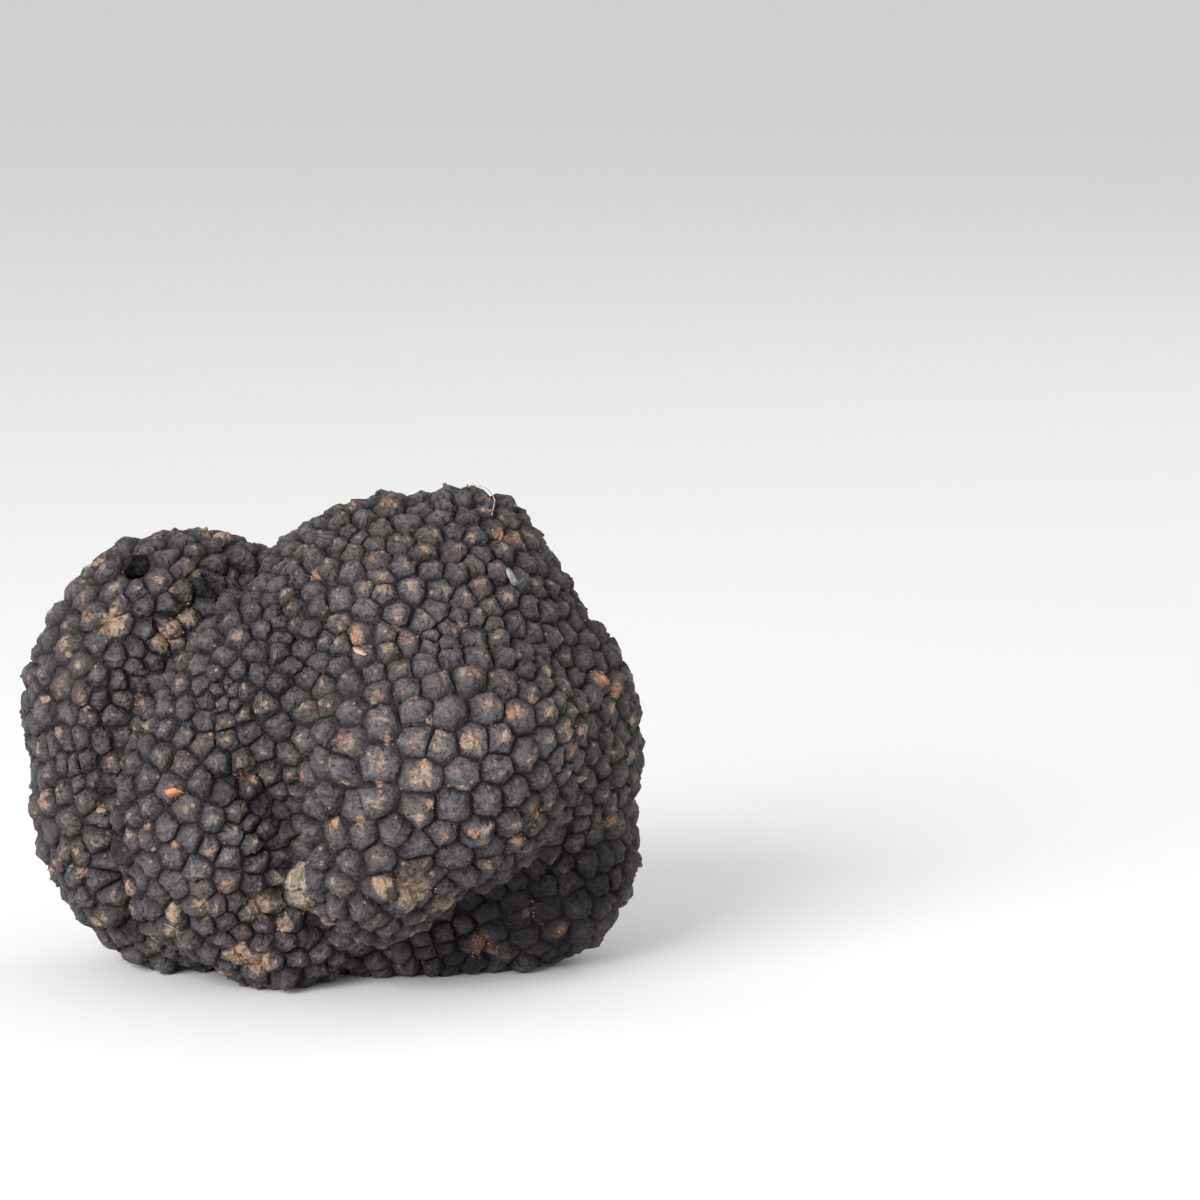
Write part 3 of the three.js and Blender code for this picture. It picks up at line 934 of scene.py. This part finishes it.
def scatter_crumbs(name, weights, count, radii, seed, lift=0.35, copied=(), smooth=False):
    """A piece of small lumpy crumbs that sit on the skin, most where the weights are highest.

    The lift is in radii. The crumbs get a tone each, and copy the skin's numbers that are named.
    """
    mesh = bpy.data.objects["truffle_skin"].data
    rng = np.random.default_rng(seed)
    chosen = rng.choice(len(weights), count, p=weights / weights.sum())
    bm = bmesh.new()
    tone = bm.verts.layers.float.new("tone")
    for number in copied:
        bm.verts.layers.float.new(number)
    layers = [(bm.verts.layers.float[number], mesh.attributes[number].data) for number in copied]
    for index, lump in zip(chosen, many_lumps(bm, count)):
        vertex = mesh.vertices[index]
        radius = rng.uniform(*radii) * MM
        size = Matrix.Diagonal((*rng.uniform(*CRUMB_WIDTHS, 3) * radius, 1))
        turn = Vector(rng.uniform(-1, 1, 3)).to_track_quat("Z", "Y").to_matrix().to_4x4()
        centre = vertex.co + vertex.normal * radius * lift
        centre.z = max(centre.z, radius * CRUMB_REACH)
        place = Matrix.Translation(centre) @ turn @ size
        share = rng.uniform(0, 1)
        for corner in lump:
            corner.co = place @ corner.co + Vector(rng.uniform(-1, 1, 3)) * radius * CRUMB_STRAY
            corner[tone] = share
            for layer, values in layers:
                corner[layer] = values[index].value
    return new_piece(name, bm, smooth)


def resting_line(tree, place, normal, along, length):
    """The middle and the direction of a stiff flake that lies on the bumps of the skin round a place."""
    above = place + normal * FEELER_HEIGHT
    starts = [above + along * length * share for share in FLAKE_FEELERS]
    hits = [tree.ray_cast(start, -normal)[0] or place for start in starts]
    middle = (hits[0] + hits[-1]) / 2
    direction = (hits[-1] - hits[0]).normalized()
    upward = (normal - direction * normal.dot(direction)).normalized()
    rise = max((hit - middle).dot(upward) for hit in hits)
    return middle + upward * (rise + FLAKE_LIFT), direction, upward


def add_flake(bm, tree, place, normal, heading, size, rng):
    """A thin flake with a ragged outline, laid on the skin, with its long side along the heading.

    The size is its length, width and thickness.
    """
    length, width, thickness = size
    normal = (normal + (place - SOLID_MIDDLE).normalized()).normalized()
    along = normal.cross(heading).normalized().cross(normal)
    place, along, normal = resting_line(tree, place, normal, along, length)
    turn = Matrix((along, normal.cross(along), normal)).transposed().to_4x4()
    spread = Matrix.Diagonal((length / 2, width / 2, 1, 1))
    made = bmesh.ops.create_circle(bm, cap_ends=True, segments=FLAKE_CORNERS, radius=1)["verts"]
    for corner in made:
        corner.co *= rng.uniform(0.75, 1.1)
        corner.co.z = thickness * (0.8 * corner.co.x**2 + rng.uniform(-0.3, 0.3))
    bmesh.ops.transform(bm, matrix=Matrix.Translation(place) @ turn @ spread, verts=made)
    face = made[0].link_faces[0]
    top = bmesh.ops.extrude_face_region(bm, geom=[face])["geom"]
    risen = [item for item in top if isinstance(item, bmesh.types.BMVert)]
    bmesh.ops.translate(bm, verts=risen, vec=normal * thickness)


def smooth_path(points, steps):
    """More points along a smooth curve through the given ones."""
    ends = [points[0] * 2 - points[1], *points, points[-1] * 2 - points[-2]]
    path = []
    for before, start, end, after in zip(ends, ends[1:], ends[2:], ends[3:]):
        for step in range(steps):
            t = step / steps
            bend = (end - before) * t + (before * 2 - start * 5 + end * 4 - after) * t**2
            bend += ((start - end) * 3 + after - before) * t**3
            path.append(start + bend / 2)
    return [*path, points[-1]]


def add_hair(bm, path, radius):
    """A thin tube along a path, thinner towards its end, closed at both ends."""
    ring = bmesh.ops.create_circle(bm, cap_ends=True, segments=6, radius=radius)["verts"]
    heading = (path[1] - path[0]).normalized()
    turn = Vector((0, 0, 1)).rotation_difference(heading).to_matrix().to_4x4()
    bmesh.ops.transform(bm, matrix=Matrix.Translation(path[0]) @ turn, verts=ring)
    face = ring[0].link_faces[0]
    for number, (start, end) in enumerate(zip(path, path[1:])):
        after = path[min(number + 2, len(path) - 1)]
        next_heading = (after - start).normalized()
        made = bmesh.ops.extrude_face_region(bm, geom=[face])["geom"]
        face = next(item for item in made if isinstance(item, bmesh.types.BMFace))
        turn = heading.rotation_difference(next_heading).to_matrix().to_4x4()
        shrink = Matrix.Diagonal((HAIR_TAPER, HAIR_TAPER, HAIR_TAPER, 1))
        move = Matrix.Translation(end) @ turn @ shrink @ Matrix.Translation(-start)
        bmesh.ops.transform(bm, matrix=move, verts=face.verts)
        heading = next_heading


def dress(piece, material):
    """Gives a piece its material, and lets it ride with the truffle."""
    piece.data.materials.clear()
    piece.data.materials.append(material)
    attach(piece, "root")


class TRUFFLE_OT_stage(bpy.types.Operator):
    """Makes the camera, the floor and the lights"""

    bl_idname = "truffle.stage"
    bl_label = "Stage"

    def execute(self, context):
        stage = context.scene.truffle_stage
        right, up, forward = camera_axes(stage)
        data = bpy.data.cameras.new("camera")
        camera = bpy.data.objects.new("camera", data)
        turn = Matrix((right, up, -forward)).transposed()
        camera.matrix_world = Matrix.Translation(camera_place(stage)) @ turn.to_4x4()
        frame_width = PICTURE_SIDE / stage.pixels_per_mm * MM
        data.lens = data.sensor_width * stage.camera_distance / frame_width
        data.clip_start = 0.01
        context.scene.collection.objects.link(camera)
        context.scene.camera = camera

        bm = bmesh.new()
        bmesh.ops.create_circle(bm, cap_ends=True, segments=96, radius=FLOOR_RADIUS)
        floor = new_piece("floor", bm, smooth=False)
        floor.data.materials.append(floor_material(stage))

        context.scene.world = studio_sky(stage)
        self.add_light(context, "key", stage.key_place, KEY_SIDE, stage.key_power)
        self.add_light(context, "rim", stage.rim_place, RIM_SIDE, stage.rim_power)
        context.scene.view_settings.view_transform = "Standard"
        return {"FINISHED"}

    def add_light(self, context, name, place, side, power):
        """A square light that faces the truffle's middle."""
        data = bpy.data.lights.new(name, "AREA")
        data.size = side
        data.energy = power
        light = bpy.data.objects.new(name, data)
        light.location = place
        light.rotation_euler = (SOLID_MIDDLE - Vector(place)).to_track_quat("-Z", "Y").to_euler()
        context.scene.collection.objects.link(light)


class TRUFFLE_OT_skin(bpy.types.Operator):
    """Makes the warty skin from the solid"""

    bl_idname = "truffle.skin"
    bl_label = "Skin"

    def execute(self, context):
        settings = context.scene.truffle_skin
        bm, tops, ups, radii = cut_solid(settings.cuts)
        skin = new_piece("truffle_skin", bm)
        rng = np.random.default_rng(SKIN_SEED)
        noise.seed_set(SKIN_SEED)
        context.view_layer.update()
        warty = WartySkin(skin.data, tops, ups, radii)
        warty.round_over(settings)
        warty.sink_grooves(settings)
        warty.furrow(settings, rng)
        warty.roughen(settings)
        warty.swell_wart(settings, seen_point(skin_tree(), *BIG_WART)[0])
        warty.open_worm_hole(settings)
        warty.write(rng)
        context.view_layer.update()

        tree = skin_tree()
        points = read_rows(skin.data.vertices, "co", 3)
        fold = read_rows(skin.data.attributes["fold"].data, "value", 1)
        for name, stains in STAINS.items():
            strength = stain_strength(tree, points, *stains)
            # Painted shade: it also darkens the folds, the deeper the fold the darker
            if name == "dark":
                strength = np.clip(strength + 0.6 * fold, 0, 1)
            add_numbers(skin.data, name, strength)
        dress(skin, skin_material(context.scene.truffle_colours))
        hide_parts("truffle")
        return {"FINISHED"}


class TRUFFLE_OT_grains(bpy.types.Operator):
    """Makes the small grains of crust that stand on the warts, in the skin's own material"""

    bl_idname = "truffle.grains"
    bl_label = "Crust grains"

    def execute(self, context):
        loose = context.scene.truffle_loose
        skin = bpy.data.objects["truffle_skin"].data
        crown, dusty = (read_rows(skin.attributes[name].data, "value", 1) for name in ("crown", "dusty"))
        weights = (crown > 0.15) * (1.2 - np.clip(dusty, 0, 1))
        size = (loose.least_grain, loose.largest_grain)
        count = loose.grain_count
        grains = scatter_crumbs(
            "crust_grains", weights, count, size, GRAIN_SEED, -0.3, GRAIN_NUMBERS, smooth=True
        )
        dress(grains, skin.materials[0])
        return {"FINISHED"}


class TRUFFLE_OT_crumbs(bpy.types.Operator):
    """Makes the crumbs of soil and of rust-coloured grit, which lie where the skin is stained"""

    bl_idname = "truffle.crumbs"
    bl_label = "Crumbs"

    def execute(self, context):
        loose = context.scene.truffle_loose
        colours = context.scene.truffle_colours
        skin = bpy.data.objects["truffle_skin"].data
        names = ("soil", "rust", "crown")
        soil, rust, crown = (read_rows(skin.attributes[name].data, "value", 1) for name in names)
        in_groove = np.clip(1.2 - crown, 0, 1) ** 2 * (crown >= 0)
        size = (loose.least_crumb, loose.largest_crumb)
        weights = (soil**2 + 0.004) * in_groove
        crumbs = scatter_crumbs("soil_crumbs", weights, loose.soil_count, size, SOIL_CRUMB_SEED)
        dress(crumbs, grit_material("soil crumbs", colours.umber, colours.soil))
        weights = rust**3 * in_groove + 1e-9
        grit = scatter_crumbs("rust_crumbs", weights, loose.rust_count, size, RUST_CRUMB_SEED)
        dress(grit, grit_material("rust crumbs", colours.rust, colours.ochre))
        return {"FINISHED"}


class TRUFFLE_OT_flakes(bpy.types.Operator):
    """Makes the grey, pink and orange flakes that stick to the skin"""

    bl_idname = "truffle.flakes"
    bl_label = "Flakes"

    def execute(self, context):
        loose = context.scene.truffle_loose
        colours = context.scene.truffle_colours
        tree = skin_tree()
        rng = random.Random(FLAKE_SEED)
        right, up, _ = camera_axes(context.scene.truffle_stage)
        for colour, flakes in FLAKES.items():
            bm = bmesh.new()
            for x, y, length, width, lean in flakes:
                place, normal = seen_point(tree, x, y)
                heading = right * math.cos(math.radians(lean)) + up * math.sin(math.radians(lean))
                size = (length * MM, width * MM, loose.flake_thickness)
                add_flake(bm, tree, place, normal, heading, size, rng)
            for _ in range(loose.unseen_flakes):
                place, normal = unseen_point(tree, rng)
                heading = Vector((rng.uniform(-1, 1), rng.uniform(-1, 1), rng.uniform(-1, 1)))
                length = rng.uniform(1.2, 2.2) * MM
                size = (length, length / 2, loose.flake_thickness)
                add_flake(bm, tree, place, normal, heading, size, rng)
            bmesh.ops.recalc_face_normals(bm, faces=bm.faces)
            light = getattr(colours, f"{colour}_flake")
            dress(new_piece(f"{colour}_flakes", bm), flake_material(f"{colour} flake", light))
        return {"FINISHED"}


class TRUFFLE_OT_root_hairs(bpy.types.Operator):
    """Makes the fine pale roots that cling to the skin"""

    bl_idname = "truffle.root_hairs"
    bl_label = "Root hairs"

    def execute(self, context):
        loose = context.scene.truffle_loose
        tree = skin_tree()
        bm = bmesh.new()
        seen = []
        for x, y, lift in ROOT_HAIR:
            place, normal = seen_point(tree, x, y)
            seen.append(place + normal * lift * MM)
        add_hair(bm, smooth_path(seen, HAIR_STEPS), loose.hair_radius)
        rng = random.Random(HAIR_SEED)
        for _ in range(loose.unseen_hairs):
            path = smooth_path(self.clinging_path(tree, rng), HAIR_STEPS)
            add_hair(bm, path, loose.hair_radius * 0.8)
        bmesh.ops.recalc_face_normals(bm, faces=bm.faces)
        dress(new_piece("root_hairs", bm), hair_material(context.scene.truffle_colours))
        return {"FINISHED"}

    def clinging_path(self, tree, rng):
        """Points of a short root that wanders over the skin, lifting off it a little in its middle."""
        place, normal = unseen_point(tree, rng)
        helper = Vector((rng.uniform(-1, 1), rng.uniform(-1, 1), rng.uniform(-1, 1)))
        heading = normal.cross(helper).normalized()
        path = [place + normal * 0.1 * MM]
        for lift in (0.5, 0.7, 0.6, 0.4, 0.1):
            heading = (heading + normal.cross(heading) * rng.uniform(-0.5, 0.5)).normalized()
            place, normal, _, _ = tree.find_nearest(place + heading * rng.uniform(0.7, 1.1) * MM)
            path.append(place + normal * lift * MM)
        return path


class TRUFFLE_PT_panel(bpy.types.Panel):
    """The truffle's sizes and colours, and the steps that build it"""

    bl_idname = "TRUFFLE_PT_panel"
    bl_label = "Black truffle"
    bl_space_type = "VIEW_3D"
    bl_region_type = "UI"
    bl_category = "Truffle"

    def draw(self, context):
        for name, group in SETTINGS.items():
            box = self.layout.box()
            for setting in group.__annotations__:
                box.prop(getattr(context.scene, name), setting)
        for step in STEPS:
            self.layout.operator(step.bl_idname)


SETTINGS = {
    "truffle_stage": StageSettings,
    "truffle_skin": SkinSettings,
    "truffle_loose": LooseSettings,
    "truffle_colours": ColourSettings,
}
STEPS = (
    TRUFFLE_OT_stage,
    TRUFFLE_OT_skin,
    TRUFFLE_OT_grains,
    TRUFFLE_OT_crumbs,
    TRUFFLE_OT_flakes,
    TRUFFLE_OT_root_hairs,
)


def register():
    for group in SETTINGS.values():
        bpy.utils.register_class(group)
    for step in STEPS:
        bpy.utils.register_class(step)
    bpy.utils.register_class(TRUFFLE_PT_panel)
    for name, group in SETTINGS.items():
        setattr(bpy.types.Scene, name, bpy.props.PointerProperty(type=group))


def unregister():
    for name in SETTINGS:
        delattr(bpy.types.Scene, name)
    bpy.utils.unregister_class(TRUFFLE_PT_panel)
    for step in reversed(STEPS):
        bpy.utils.unregister_class(step)
    for group in SETTINGS.values():
        bpy.utils.unregister_class(group)


def main():
    register()
    bpy.ops.truffle.stage()
    bpy.ops.truffle.skin()
    bpy.ops.truffle.grains()
    bpy.ops.truffle.crumbs()
    bpy.ops.truffle.flakes()
    bpy.ops.truffle.root_hairs()


if __name__ == "__main__":
    main()
